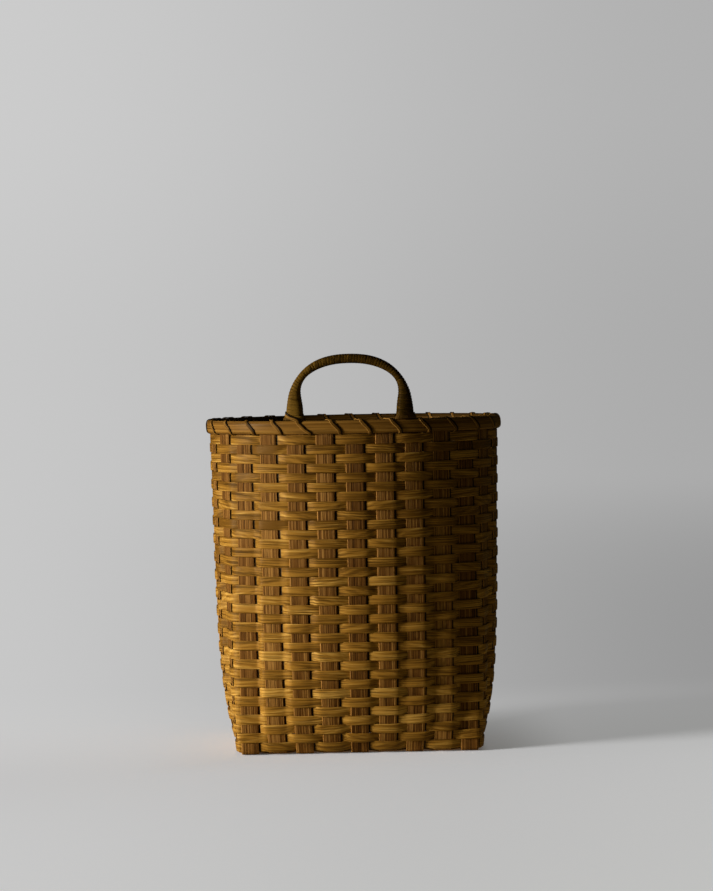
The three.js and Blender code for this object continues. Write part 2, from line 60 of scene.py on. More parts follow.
# Stakes
# 14 flat splints of rived and planed wood, 3/4 in wide. They are woven into each other as the base,
# and both ends of each are turned up to stand as the 28 stakes of the wall, which the rim holds.
LONG_STRIPS = 9
CROSS_STRIPS = 5
STAKE_COUNT = 2 * (LONG_STRIPS + CROSS_STRIPS)
FRONT_STAKE, RIGHT_STAKE, BACK_STAKE, LEFT_STAKE = range(0, STAKE_COUNT, STAKE_COUNT // 4)
STAKE_WIDTH = 0.019
STAKE_THICKNESS = 0.0012
FIT = 0.0003
BASE_PITCH = 0.030
BASE_HALF_WIDTH = 0.134
BASE_HALF_DEPTH = 0.078
BEND_HEIGHT = 0.003
BEND_STEPS = 8
MOUTH_HALF_WIDTH = 0.1595
MOUTH_HALF_DEPTH = 0.120
MOUTH_SQUARENESS = 2.15
MOUTH_STEPS = 2880
FOOT_CURVE_HEIGHT = 0.045
FOOT_CURVE_SHARE = 0.8
LOWER_LAYER_Z = STAKE_THICKNESS / 2
UPPER_LAYER_Z = LOWER_LAYER_Z + STAKE_THICKNESS + FIT
ROWS = 34
ROW_PITCH = 0.01015
WALL_BOTTOM_Z = UPPER_LAYER_Z + BEND_HEIGHT
WALL_HEIGHT = ROWS * ROW_PITCH
WALL_TOP_Z = WALL_BOTTOM_Z + WALL_HEIGHT
RIM_BOTTOM_Z, RIM_TOP_Z = [corner[2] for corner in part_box("outer_hoop")]
STAKE_TOP_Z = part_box("long_stake_5")[1][2]
HELD_Z = RIM_BOTTOM_Z + 0.006
STAKE_SWAY = 0.0003
SWAY_EASE = 0.02
DOWN = np.array((0, 0, -1.0))
# Each strip was split from another place in the log, from dark (0) to pale (1). Long ones run from the left
# to the right as the handle side shows them, cross ones from the handle side to the back.
LONG_STAKE_TONES = (0.56, 0.68, 0.57, 0.59, 0.40, 0.58, 0.58, 0.68, 0.46)
CROSS_STAKE_TONES = (0.55, 0.59, 0.64, 0.44, 0.47)


class Socket:
    """An output in a node tree. Arithmetic on it adds Math nodes."""

    def __init__(self, tree, output=None):
        self.tree = tree
        self.output = output

    def node(self, kind, settings={}, sockets={}, out=0):
        """Adds a node of a kind, with its settings first and then its inputs' values or links."""
        made = self.tree.nodes.new(kind)
        for name, value in settings.items():
            setattr(made, name, value)
        for name, value in sockets.items():
            if isinstance(value, Socket):
                self.tree.links.new(value.output, made.inputs[name])
            else:
                made.inputs[name].default_value = value
        return Socket(self.tree, made.outputs[out])

    def feed(self, node, name):
        """Links this value to a node's input."""
        self.tree.links.new(self.output, node.inputs[name])

    def math(self, operation, *others):
        return self.node("ShaderNodeMath", {"operation": operation}, dict(enumerate((self, *others))))

    def vector(self, operation, *others, out=0):
        inputs = dict(enumerate((self, *others)))
        return self.node("ShaderNodeVectorMath", {"operation": operation}, inputs, out)

    def times(self, number):
        """This vector, made longer or shorter."""
        return self.node("ShaderNodeVectorMath", {"operation": "SCALE"}, {0: self, "Scale": number})

    def part(self, axis):
        """One of this vector's three numbers."""
        return self.node("ShaderNodeSeparateXYZ", {}, {0: self}, out=axis)

    def mix(self, low, high):
        """The colour between two others for which this value is the share of the second."""
        return self.node("ShaderNodeMix", {"data_type": "RGBA"}, {0: self, 6: low, 7: high}, out=2)

    def between(self, low, high):
        """0 below low, 1 above high, and a smooth rise in between."""
        limits = {0: self, 1: low, 2: high}
        return self.node("ShaderNodeMapRange", {"interpolation_type": "SMOOTHSTEP"}, limits)

    def __add__(self, other):
        return self.math("ADD", other)

    def __radd__(self, other):
        return self.math("ADD", other)

    def __sub__(self, other):
        return self.math("SUBTRACT", other)

    def __rsub__(self, other):
        return self.node("ShaderNodeMath", {"operation": "SUBTRACT"}, {0: other, 1: self})

    def __mul__(self, other):
        return self.math("MULTIPLY", other)

    def __rmul__(self, other):
        return self.math("MULTIPLY", other)

    def __truediv__(self, other):
        return self.math("DIVIDE", other)


def unit(vectors):
    return vectors / np.linalg.norm(vectors, axis=-1, keepdims=True)


def reach_along(points):
    """How far along a line of points each of them lies."""
    return np.concatenate([[0], np.cumsum(np.linalg.norm(np.diff(points, axis=0), axis=1))])


def stakes_at_base():
    """Each stake's middle and the way along its width, where the wall leaves the base. Stake 0 is the middle
    of the handle side, and the numbers run on toward +X and round the basket."""
    middles, ways = np.zeros((STAKE_COUNT, 2)), np.zeros((STAKE_COUNT, 2))
    for middle, count, edge, way in (
        (FRONT_STAKE, LONG_STRIPS, (0, -BASE_HALF_DEPTH), (1, 0)),
        (RIGHT_STAKE, CROSS_STRIPS, (BASE_HALF_WIDTH, 0), (0, 1)),
        (BACK_STAKE, LONG_STRIPS, (0, BASE_HALF_DEPTH), (-1, 0)),
        (LEFT_STAKE, CROSS_STRIPS, (-BASE_HALF_WIDTH, 0), (0, -1)),
    ):
        for step in range(-(count // 2), count // 2 + 1):
            stake = (middle + step) % STAKE_COUNT
            middles[stake] = np.array(edge) + np.array(way) * step * BASE_PITCH
            ways[stake] = way
    return middles, ways


def stakes_at_mouth():
    """The same at the top, where the stakes are spaced evenly round a squarish oval."""
    turn = np.linspace(0, 2 * math.pi, MOUTH_STEPS + 1)
    x, y = np.sin(turn), -np.cos(turn)
    power = 2 / MOUTH_SQUARENESS
    oval = np.stack([
        MOUTH_HALF_WIDTH * np.sign(x) * np.abs(x) ** power,
        MOUTH_HALF_DEPTH * np.sign(y) * np.abs(y) ** power,
    ], 1)
    around = reach_along(oval)

    def oval_at(places):
        places = places % around[-1]
        return np.stack([np.interp(places, around, oval[:, i]) for i in (0, 1)], 1)

    places = around[-1] * np.arange(STAKE_COUNT) / STAKE_COUNT
    nearby = around[-1] / 800
    return oval_at(places), unit(oval_at(places + nearby) - oval_at(places - nearby))


base_middles, base_ways = stakes_at_base()
mouth_middles, mouth_ways = stakes_at_mouth()
base_turn = np.arctan2(base_ways[:, 1], base_ways[:, 0])
twist = np.arctan2(
    base_ways[:, 0] * mouth_ways[:, 1] - base_ways[:, 1] * mouth_ways[:, 0],
    (base_ways * mouth_ways).sum(1),
)


def wall(z):
    """Every stake's middle, way along its width and way out of the basket, at a height. Part of the flare
    happens close to the floor, and the rest is spread evenly. Above the weave the stakes stand upright."""
    climb = (min(z, WALL_TOP_Z) - WALL_BOTTOM_Z) / WALL_HEIGHT
    early = 1 - math.exp(-climb * WALL_HEIGHT / FOOT_CURVE_HEIGHT)
    full = 1 - math.exp(-WALL_HEIGHT / FOOT_CURVE_HEIGHT)
    flare = FOOT_CURVE_SHARE * early / full + (1 - FOOT_CURVE_SHARE) * climb
    middles = base_middles + (mouth_middles - base_middles) * flare
    turn = base_turn + twist * climb
    ways = np.stack([np.cos(turn), np.sin(turn)], 1)
    return middles, ways, np.stack([ways[:, 1], -ways[:, 0]], 1)


def build_splint_tree():
    """Lays a splint along a path. Each point of the path says which way the splint's face looks there
    (facing), how far out or in the weave takes it (weave, from 1 to -1), how broad it is against its mean
    (breadth), and where and how pale it is in the grain (along, tone)."""
    tree = bpy.data.node_groups.new("splint along a path", "GeometryNodeTree")
    interface = tree.interface
    interface.new_socket("Path", in_out="INPUT", socket_type="NodeSocketGeometry")
    for name, value in (
        ("Width", 0.0095), ("Thickness", 0.0008), ("Crown", 0.9), ("Relief", 0.0),
        ("Width wander", 0.0), ("Path wander", 0.0), ("Seed", 0.0),
    ):
        interface.new_socket(name, in_out="INPUT", socket_type="NodeSocketFloat").default_value = value
    interface.new_socket("Section points", in_out="INPUT", socket_type="NodeSocketInt").default_value = 12
    interface.new_socket("Wood", in_out="INPUT", socket_type="NodeSocketMaterial")
    interface.new_socket("Splint", in_out="OUTPUT", socket_type="NodeSocketGeometry")
    inputs = tree.nodes.new("NodeGroupInput").outputs
    given = {socket.name: Socket(tree, socket) for socket in inputs if socket.name}
    make = Socket(tree)

    def stored(name, kind):
        return make.node("GeometryNodeInputNamedAttribute", {"data_type": kind}, {"Name": name})

    def moved(shape, **places):
        return make.node("GeometryNodeSetPosition", {}, {"Geometry": shape, **places})

    def wander(scale):
        noise = make.node("ShaderNodeTexNoise", {}, {"Vector": place, "Scale": scale, "Detail": 2.0})
        return noise - 0.5

    facing = stored("facing", "FLOAT_VECTOR")
    path = make.node("GeometryNodeMeshToCurve", {}, {"Mesh": given["Path"]})
    # Out over one stake and in behind the next
    path = moved(path, Offset=facing.times(stored("weave", "FLOAT") * given["Relief"]))
    # The face stays square to the path
    tangent = make.node("GeometryNodeInputTangent")
    lean = facing.vector("DOT_PRODUCT", tangent, out="Value")
    square = facing.vector("SUBTRACT", tangent.times(lean)).vector("NORMALIZE")
    # A hand-cut edge: the splint wanders a little sideways and in width
    seed = make.node("ShaderNodeCombineXYZ", {}, {"Z": given["Seed"]})
    place = stored("along", "FLOAT_VECTOR").vector("ADD", seed)
    drift = wander(28.0) * given["Path wander"]
    path = moved(path, Offset=square.vector("CROSS_PRODUCT", tangent).times(drift))
    breadth = stored("breadth", "FLOAT") + wander(41.0) * given["Width wander"]
    path = make.node("GeometryNodeSetCurveNormal", {"mode": "FREE"}, {"Curve": path, "Normal": square})
    # The section: a flat oval with soft edges, thick along X and wide along Y
    section = make.node("GeometryNodeCurvePrimitiveCircle", {"mode": "RADIUS"}, {
        "Resolution": given["Section points"], "Radius": 1.0,
    })
    spot = make.node("GeometryNodeInputPosition")
    x, y = spot.part("X"), spot.part("Y")
    rise = x.math("SIGN") * x.math("ABSOLUTE").math("POWER", given["Crown"])
    spread = y.math("SIGN") * y.math("ABSOLUTE").math("POWER", 0.4)
    section = moved(section, Position=make.node("ShaderNodeCombineXYZ", {}, {
        "X": rise * given["Thickness"] * 0.5, "Y": spread * given["Width"] * 0.5,
    }))
    section = make.node("GeometryNodeStoreNamedAttribute", {"data_type": "FLOAT", "domain": "POINT"}, {
        "Geometry": section, "Name": "across", "Value": y,
    })
    splint = make.node("GeometryNodeCurveToMesh", {}, {
        "Curve": path, "Profile Curve": section, "Scale": breadth, "Fill Caps": True,
    })
    splint = make.node("GeometryNodeSetShadeSmooth", {}, {"Geometry": splint})
    splint = make.node("GeometryNodeRealizeInstances", {}, {"Geometry": splint})
    splint = make.node("GeometryNodeSetMaterial", {}, {"Geometry": splint, "Material": given["Wood"]})
    splint.feed(tree.nodes.new("NodeGroupOutput"), "Splint")
    return tree


splint_tree = build_splint_tree()


def store(mesh, **values):
    """Keeps a number or a vector for each point of a mesh, under the names given."""
    for name, numbers in values.items():
        vectors = np.ndim(numbers) == 2
        if not vectors:
            numbers = np.broadcast_to(numbers, len(mesh.vertices))
        attribute = mesh.attributes.new(name, "FLOAT_VECTOR" if vectors else "FLOAT", "POINT")
        field = "vector" if vectors else "value"
        attribute.data.foreach_set(field, np.ascontiguousarray(numbers, np.float32).ravel())


def grain_places(points, closed):
    """Where each point of a line lies in the grain, which runs round a closed line without a seam."""
    reach = reach_along(points)
    if not closed:
        return np.column_stack([reach, 0 * reach, 0 * reach])
    length = reach[-1] + np.linalg.norm(points[0] - points[-1])
    turn = 2 * math.pi * reach / length
    radius = length / (2 * math.pi)
    return np.column_stack([radius * np.cos(turn), radius * np.sin(turn), 0 * turn])


def lay_splint(name, points, facing, closed, wood, weave=0.0, nook=0.0, breadth=1.0, tone=0.5, **sizes):
    """One splint along a path of points, with its face toward facing, as a plain mesh. The number for the
    painted shadow beside a stake is how far the splint has come out from behind that stake, from -1 up."""
    count = len(points)
    edges = [(i, i + 1) for i in range(count - 1)] + ([(count - 1, 0)] if closed else [])
    path = bpy.data.meshes.new(name + " path")
    path.from_pydata([tuple(point) for point in points], edges, [])
    store(path, facing=unit(facing), along=grain_places(points, closed), weave=weave, nook=nook,
          breadth=breadth, tone=tone)
    source = bpy.data.objects.new(name + " path", path)
    bpy.context.scene.collection.objects.link(source)
    modifier = source.modifiers.new("splint", "NODES")
    modifier.node_group = splint_tree
    given = {"Wood": wood, **sizes}
    for item in splint_tree.interface.items_tree:
        if item.item_type == "SOCKET" and item.in_out == "INPUT" and item.name in given:
            modifier[item.identifier] = given[item.name]
    shape = source.evaluated_get(bpy.context.evaluated_depsgraph_get())
    mesh = bpy.data.meshes.new_from_object(shape)
    mesh.name = name
    bpy.data.objects.remove(source)
    piece = bpy.data.objects.new(name, mesh)
    bpy.context.scene.collection.objects.link(piece)
    return piece


def toned(color, share):
    """A colour made darker or paler by one share."""
    return (*[channel * share for channel in color[:3]], 1)


def splint_wood(name, dark, middle, light, fibre, roughness, relief, lengthwise=26.0, shine=0.14, edge=None,
                shadow_edge=None, nook=None):
    """Split wood: long fibres as fine streaks, broader bands of heart and sap colour, and a satin face. fibre
    is how many fine streaks there are to a metre of width, and relief is their depth. edge is where, out from
    the middle, the pale edges start and are full: wear, and a painted highlight where light catches the
    edges. grime is where the painted shadow along the dark edge at one side starts and is full. nook is where
    a weaver's painted shadow beside a stake ends, in how far it has come out from behind the stake."""
    material = bpy.data.materials.new(name)
    material.use_nodes = True
    surface = material.node_tree.nodes["Principled BSDF"]
    surface.inputs["Specular IOR Level"].default_value = shine
    # Light off old wood is as warm as the wood
    surface.inputs["Specular Tint"].default_value = (1.0, 0.80, 0.50, 1)
    paint = Socket(material.node_tree)

    def stored(name, out):
        return paint.node("ShaderNodeAttribute", {"attribute_name": name}, out=out)

    along, across, tone = stored("along", "Vector"), stored("across", "Fac"), stored("tone", "Fac")
    x, y = along.part("X"), along.part("Y")

    def streaks(long, wide, detail, shift):
        spot = paint.node("ShaderNodeCombineXYZ", {}, {
            "X": x * long + shift, "Y": y * long, "Z": across * wide + tone * 61.0 + shift,
        })
        return paint.node("ShaderNodeTexNoise", {}, {
            "Vector": spot, "Scale": 1.0, "Detail": detail, "Roughness": 0.62,
        })

    fine = streaks(lengthwise, fibre, 3.0, 0.0)
    broad = streaks(lengthwise * 0.35, fibre * 0.22, 2.0, 7.0)
    pores = streaks(lengthwise * 1.7, fibre * 1.4, 1.0, 19.0)
    blotch = streaks(9.0, 60.0, 2.0, 31.0)
    shade = broad * 0.4 + fine * 0.8 - 0.1 + (tone - 0.5) * 0.4 + (blotch - 0.5) * 0.25
    color = shade.between(0.37, 0.48).mix(dark, middle)
    color = shade.between(0.51, 0.64).mix(color, light)
    vessel = pores.between(0.58, 0.66)
    color = (vessel * 0.7).mix(color, toned(dark, 0.5))
    # Pale edges: wear, and a painted highlight where light catches the edges
    if edge:
        wear_and_highlight = across.math("ABSOLUTE").between(*edge) * (0.35 + fine)
        color = wear_and_highlight.math("MINIMUM", 0.85).mix(color, toned(light, 1.25))
    # Painted shadow: a dark band along one edge, as the shadow beside the raised splint
    if shadow_edge:
        color = across.between(*shadow_edge).mix(color, toned(dark, 0.15))
    # Painted shadow: the weaver is painted nearly black in the slit where it comes out from behind a stake
    if nook:
        color = stored("nook", "Fac").between(*nook).mix(toned(dark, 0.1), color)
    color.feed(surface, "Base Color")
    gloss = roughness + (fine - 0.5) * 0.25 + vessel * 0.1
    gloss.feed(surface, "Roughness")
    height = fine * 0.7 + broad * 0.3 - vessel * 0.35
    bump = paint.node("ShaderNodeBump", {}, {"Strength": 1.0, "Distance": relief, "Height": height})
    bump.feed(surface, "Normal")
    return material


# The stakes' pale edges are wear and a painted highlight of their lit edges
stake_wood = splint_wood(
    "red-brown stake splint", (0.050, 0.018, 0.003, 1), (0.165, 0.066, 0.0115, 1), (0.42, 0.205, 0.047, 1),
    fibre=950.0, roughness=0.52, relief=0.0012, lengthwise=7.0, shine=0.07, edge=(0.0088, 0.0094),
)


def base_run(over):
    """A strip's way through the base: places along it and heights, over or under each strip it crosses."""
    places, heights = [], []
    for crossing, is_over in enumerate(over):
        middle = (crossing - (len(over) - 1) / 2) * BASE_PITCH
        for share in (-0.5, -0.25, 0, 0.25, 0.5):
            places.append(middle + share * STAKE_WIDTH)
            heights.append(UPPER_LAYER_Z if is_over else LOWER_LAYER_Z)
    return np.array(places), np.array(heights)


def wall_run(stake):
    """A stake's way up the wall from the bend to its top, and the way out of the basket at each point."""
    woven = WALL_BOTTOM_Z + np.arange(2 * ROWS) * ROW_PITCH / 2
    points, outs = [], []
    for z in [*woven, WALL_TOP_Z, HELD_Z, STAKE_TOP_Z]:
        middles, _, out = wall(z)
        # The weavers pull each stake in where they pass outside it
        row = (WALL_TOP_Z - z) / ROW_PITCH + 0.5
        sway = -STAKE_SWAY * math.cos(math.pi * (row + stake + 1)) if z < WALL_TOP_Z else 0
        ease = min((z - WALL_BOTTOM_Z) / SWAY_EASE, 1)
        points.append((*(middles[stake] + out[stake] * sway * ease), z))
        outs.append((*out[stake], 0))
    return np.array(points), np.array(outs)


def bend(flat, upright, out):
    """The turn of a strip from the base up to the wall, and the ways that its outer face looks."""
    corner = np.array([upright[0], upright[1], flat[2]])
    shares = np.linspace(0, 1, BEND_STEPS + 1)[1:-1]
    points = [(1 - t) ** 2 * flat + 2 * t * (1 - t) * corner + t ** 2 * upright for t in shares]
    looks = [DOWN * math.cos(t * math.pi / 2) + out * math.sin(t * math.pi / 2) for t in shares]
    return np.array(points), np.array(looks)


def stake_strip(node, way, beside, over, first_stake, last_stake, tone, seed):
    """One strip from the top of one stake, down the wall, through the base and up to the top of another."""
    places, heights = base_run(over)
    floor = np.column_stack([np.outer(places, way) + beside, heights])
    down = np.tile(DOWN, (len(floor), 1))
    start, start_out = wall_run(first_stake)
    end, end_out = wall_run(last_stake)
    first, first_out = bend(floor[0], start[0], start_out[0])
    last, last_out = bend(floor[-1], end[0], end_out[0])
    points = np.concatenate([start[::-1], first[::-1], floor, last, end])
    looks = np.concatenate([start_out[::-1], first_out[::-1], down, last_out, end_out])
    strip = lay_splint(node + "_splint", points, looks, False, stake_wood, tone=tone, **{
        "Width": STAKE_WIDTH, "Thickness": STAKE_THICKNESS, "Crown": 0.35, "Width wander": 0.03,
        "Seed": seed, "Section points": 16,
    })
    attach(strip, "root")
    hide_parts(node)


for i, tone in enumerate(LONG_STAKE_TONES):
    step = i - LONG_STRIPS // 2
    over = [(i + j) % 2 == 1 for j in range(CROSS_STRIPS)]
    stake_strip(f"long_stake_{i + 1}", (0, 1), (step * BASE_PITCH, 0), over,
                (FRONT_STAKE + step) % STAKE_COUNT, BACK_STAKE - step, tone, 3.7 * (i + 1) + 4)
for j, tone in enumerate(CROSS_STAKE_TONES):
    step = j - CROSS_STRIPS // 2
    over = [(i + j) % 2 == 0 for i in range(LONG_STRIPS)]
    stake_strip(f"cross_stake_{j + 1}", (1, 0), (0, step * BASE_PITCH), over,
                LEFT_STAKE - step, RIGHT_STAKE + step, tone, 3.7 * (j + 1) + 5)


# Weavers
# 34 narrow splints, 3/8 in wide. Each goes round the basket over one stake and under the next, and the
# rows above and below go the other way. They were soaked to weave and dried to these waves.
WEAVER_WIDTH = 0.0101
WEAVER_THICKNESS = 0.0008
ROW_OVERLAP = 0.0010
TOP_ROW_RISE = 0.0003
WEAVE_RELIEF = 0.0018
FULLNESS = 1.3
# How much narrower the painted slit shadow is where a weaver goes in behind a stake
SLIT_SHADE_SHIFT = 0.29
# How much darker the rows toward the rim are painted, as shade
TOP_ROW_SHADE = 0.25
# Half of the share of the way round the wall that lies behind stakes
PANEL_SHARE = 0.305
PANEL_STEPS = 6
SPACE_STEPS = 6

# The weaver carries a painted shadow in the slit beside each stake
weaver_wood = splint_wood(
    "honey-brown weaver splint", (0.16, 0.070, 0.008, 1), (0.36, 0.172, 0.023, 1), (0.62, 0.345, 0.070, 1),
    fibre=880.0, roughness=0.44, relief=0.0007, lengthwise=9.0, shine=0.12, nook=(-0.44, -0.31),
)


def flowing(start, start_slope, end, end_slope, t):
    """A place on the smooth curve between two points that leaves one and meets the other at these slopes."""
    return (
        (2 * t**3 - 3 * t**2 + 1) * start + (t**3 - 2 * t**2 + t) * start_slope
        + (3 * t**2 - 2 * t**3) * end + (t**3 - t**2) * end_slope
    )


def round_wall(z):
    """A closed line round the stakes' middle surface, flat behind each stake and curved in each space, and
    where its points are, counted in stakes."""
    middles, ways, _ = wall(z)
    points, stations = [], []
    for k in range(STAKE_COUNT):
        after = (k + 1) % STAKE_COUNT
        start = middles[k] - ways[k] * STAKE_WIDTH / 2
        end = middles[k] + ways[k] * STAKE_WIDTH / 2
        for t in np.arange(PANEL_STEPS) / PANEL_STEPS:
            points.append(start + (end - start) * t)
            stations.append(k - PANEL_SHARE + 2 * PANEL_SHARE * t)
        beyond = middles[after] - ways[after] * STAKE_WIDTH / 2
        space = np.linalg.norm(beyond - end)
        for t in np.arange(SPACE_STEPS) / SPACE_STEPS:
            points.append(flowing(end, ways[k] * space, beyond, ways[after] * space, t))
            stations.append(k + PANEL_SHARE + (1 - 2 * PANEL_SHARE) * t)
    return np.column_stack([points, np.full(len(points), z)]), np.array(stations)


tones = np.random.default_rng(7)
for row in range(1, ROWS + 1):
    high = WALL_TOP_Z - (row - 1) * ROW_PITCH
    # The rows toward the base are pushed up against each other, so that no light shows between them
    low = high - WEAVER_WIDTH - ROW_OVERLAP * row / ROWS
    if row == 1:
        high += TOP_ROW_RISE
    below, stations = round_wall(low)
    above, _ = round_wall(high)
    middle = (below + above) / 2
    outward = np.cross(np.roll(middle, -1, 0) - np.roll(middle, 1, 0), above - below)
    # Each row's splint is its own colour, and darkens and pales along its length. Toward the rim the rows are
    # darker: painted shade, standing in for the weaker light on the upper wall.
    turn = np.linspace(0, 2 * math.pi, len(middle), endpoint=False)
    tone = tones.uniform(0.34, 0.66) + 0.06 * np.sin(turn * tones.integers(1, 4) + tones.uniform(0, 6))
    tone -= TOP_ROW_SHADE * (1 - row / ROWS) ** 1.5
    phase = math.pi * (stations + row + 1)
    weave = np.tanh(FULLNESS * np.cos(phase)) / math.tanh(FULLNESS)
    # Painted shadow: where the weaver comes out again from behind a stake, a black slit is painted beside the
    # stake. On the side where it goes in behind a stake, the painted dark part is made narrower, so that the
    # stake hides it.
    nook = np.cos(phase) + np.where(np.sin(phase) > 0, SLIT_SHADE_SHIFT, 0.0)
    # Where the wall slopes at the foot, the splint fills the slope
    widths = np.linalg.norm(above - below, axis=1)
    breadth = widths / widths.mean()
    node = f"weaver_{row:02d}"
    weaver = lay_splint(node + "_splint", middle, outward, True, weaver_wood, weave, nook, breadth, tone, **{
        "Width": float(widths.mean()), "Thickness": WEAVER_THICKNESS, "Relief": WEAVE_RELIEF,
        "Width wander": 0.06, "Path wander": 0.0003, "Seed": row * 1.3,
    })
    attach(weaver, "root")
    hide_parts(node)


# Rim hoops
# Two hoops of bent hardwood, one outside and one inside, that hold the tops of the stakes between them.
# They are flat toward the stakes and rounded on the side that is seen, and smoother than the splints.
HOOP_HEIGHT = RIM_TOP_Z - RIM_BOTTOM_Z
OUTER_HOOP_THICKNESS = 0.004
INNER_HOOP_THICKNESS = 0.006
STAKE_CLEAR = STAKE_THICKNESS / 2 + FIT
OUTER_FACE = STAKE_CLEAR + OUTER_HOOP_THICKNESS
INNER_FACE = -STAKE_CLEAR - INNER_HOOP_THICKNESS
# A hoop's flat side and how far out its rounded one stands, both from the stakes' middle, and how much lower
# it reaches than its solid, to close the slot over the weave
OUTER_HOOP = {"flat": STAKE_CLEAR, "proud": OUTER_FACE, "drop": 0.0003}
INNER_HOOP = {"flat": -STAKE_CLEAR, "proud": INNER_FACE, "drop": 0.0010}
# How full a hoop's section is across, and how square its edges are
HOOP_BULGE = 0.55
HOOP_SHOULDER = 0.8
HOOP_SIDES = 13
HOOP_STEPS = 16
HANDLE_STAKE = 2
HANDLE_SHIFT = -0.0041
FOOT_SPREAD = 0.0593
TAIL_WIDTH = 0.009
TAIL_THICKNESS = 0.003
TAIL_REACH = 0.0047

hoop_wood = splint_wood(
    "smooth brown hoop wood", (0.13, 0.056, 0.008, 1), (0.235, 0.108, 0.017, 1), (0.36, 0.180, 0.034, 1),
    fibre=700.0, roughness=0.42, relief=0.0003, lengthwise=6.0, shine=0.10,
)
# Painted shade: the inner hoop is made much darker than the outer one, standing in for the shade inside the
# basket under the rim
inner_hoop_shade_wood = splint_wood(
    "inner hoop wood painted with shade", (0.034, 0.015, 0.002, 1), (0.075, 0.035, 0.005, 1), (0.13, 0.063, 0.012, 1),
    fibre=700.0, roughness=0.5, relief=0.0003, lengthwise=6.0, shine=0.05,
)


def loft(name, sections, closed, wood):
    """A solid through sections of points, with the grain's places stored on it."""
    rings, sides = sections.shape[:2]
    faces = []
    for i in range(rings if closed else rings - 1):
        ahead = (i + 1) % rings
        for j in range(sides):
            beside = (j + 1) % sides
            faces.append((i * sides + j, ahead * sides + j, ahead * sides + beside, i * sides + beside))
    if not closed:
        faces.append(tuple(range(sides)))
        faces.append(tuple(range((rings - 1) * sides, rings * sides))[::-1])
    mesh = bpy.data.meshes.new(name)
    mesh.from_pydata([tuple(point) for point in sections.reshape(-1, 3)], [], faces)
    along = grain_places(sections.mean(1), closed)
    girth = reach_along(np.concatenate([sections[0], sections[0][:1]]))
    across = np.minimum(girth, girth[-1] - girth)[:-1]
    store(mesh, along=np.repeat(along, sides, axis=0), across=np.tile(across, rings), tone=0.5)
    mesh.materials.append(wood)
    mesh.shade_smooth()
    piece = bpy.data.objects.new(name, mesh)
    bpy.context.scene.collection.objects.link(piece)
    return piece


def smooth_rim(steps):
    """A smooth closed line through the stakes' middles at the rim, with the way out at each point."""
    middles, ways, _ = wall(RIM_TOP_Z)
    points, slopes = [], []
    for k in range(STAKE_COUNT):
        after = (k + 1) % STAKE_COUNT
        space = np.linalg.norm(middles[after] - middles[k])
        for t in np.arange(steps) / steps:
            points.append(flowing(middles[k], ways[k] * space, middles[after], ways[after] * space, t))
            slopes.append(
                (6 * t**2 - 6 * t) * (middles[k] - middles[after]) + (3 * t**2 - 4 * t + 1) * ways[k] * space
                + (3 * t**2 - 2 * t) * ways[after] * space
            )
    slopes = unit(np.array(slopes))
    return np.array(points), np.column_stack([slopes[:, 1], -slopes[:, 0]])


def hoop(node, wood, flat, proud, drop, notches=()):
    """A hoop round the whole rim, with notches where the handle's tails pass it."""
    bottom, half = RIM_BOTTOM_Z - drop, (HOOP_HEIGHT + drop) / 2
    outline = []
    for turn in np.linspace(-math.pi / 2, math.pi / 2, HOOP_SIDES):
        c, s = math.cos(turn), math.sin(turn)
        rise = half + half * math.copysign(abs(s) ** HOOP_SHOULDER, s)
        outline.append((flat + (proud - flat) * abs(c) ** HOOP_BULGE, bottom + rise))
    # Round from the top corner, so that the faces look out on both hoops
    outline = [outline[-1], *outline[:-1]] if proud > flat else outline[::-1]
    sections = []
    for point, out in zip(*smooth_rim(HOOP_STEPS)):
        notched = any(np.linalg.norm(point - notch) < TAIL_WIDTH / 2 + 2 * FIT for notch in notches)
        deepest = flat - TAIL_THICKNESS - FIT
        sections.append([
            (*(point + out * (min(offset, deepest) if notched else offset)), z) for offset, z in outline
        ])
    piece = loft(node + "_wood", np.array(sections), True, wood)
    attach(piece, "root")
    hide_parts(node)


# Where each foot of the handle stands, and where its tail goes down beside it, behind the stake
feet = {}
middles, ways, outs = wall(RIM_TOP_Z)
for side in (-1, 1):
    stake = side * HANDLE_STAKE
    on_rim = middles[stake] + outs[stake] * (OUTER_FACE + INNER_FACE) / 2
    aside = (HANDLE_SHIFT + side * FOOT_SPREAD - on_rim[0]) / ways[stake][0]
    tail = min(max(aside, -TAIL_REACH), TAIL_REACH)
    feet[side] = {
        "middle": on_rim + ways[stake] * aside, "out": outs[stake], "stake": stake, "tail": tail,
        "notch": middles[stake] + ways[stake] * tail,
    }
hoop("outer_hoop", hoop_wood, **OUTER_HOOP)
hoop("inner_hoop", inner_hoop_shade_wood, **INNER_HOOP, notches=[foot["notch"] for foot in feet.values()])


# Handle bow
# One bent piece of hardwood. Its feet stand on the near rim and are lashed to it, and below each a thin
# tail goes down inside the rim, hooks under the inner hoop and lies against the weave.
GRIP_THICKNESS = 0.0086
GRIP_DEPTH = 0.014
BOW_BOTTOM_Z = RIM_TOP_Z + FIT
HANDLE_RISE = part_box("handle_bow")[1][2] - GRIP_THICKNESS / 2 - BOW_BOTTOM_Z
HANDLE_HALF_WIDTH = 0.0588
HANDLE_SQUARENESS = 2.25
LEG_RISE = 0.022
LEG_SHARE = 0.4
SHOULDER_THICKNESS = 0.0066
SHOULDER_RISE = 0.048
FOOT_WIDTH = 0.0166
FOOT_RISE = 0.006
FOOT_DEPTH = OUTER_FACE - INNER_FACE
TOE_WIDTH = 0.0090
TOE_RISE = 0.0080
BOW_CORNER = 0.72
BOW_SECTIONS = 121
BOW_SIDES = 20
LINE_STEPS = 800
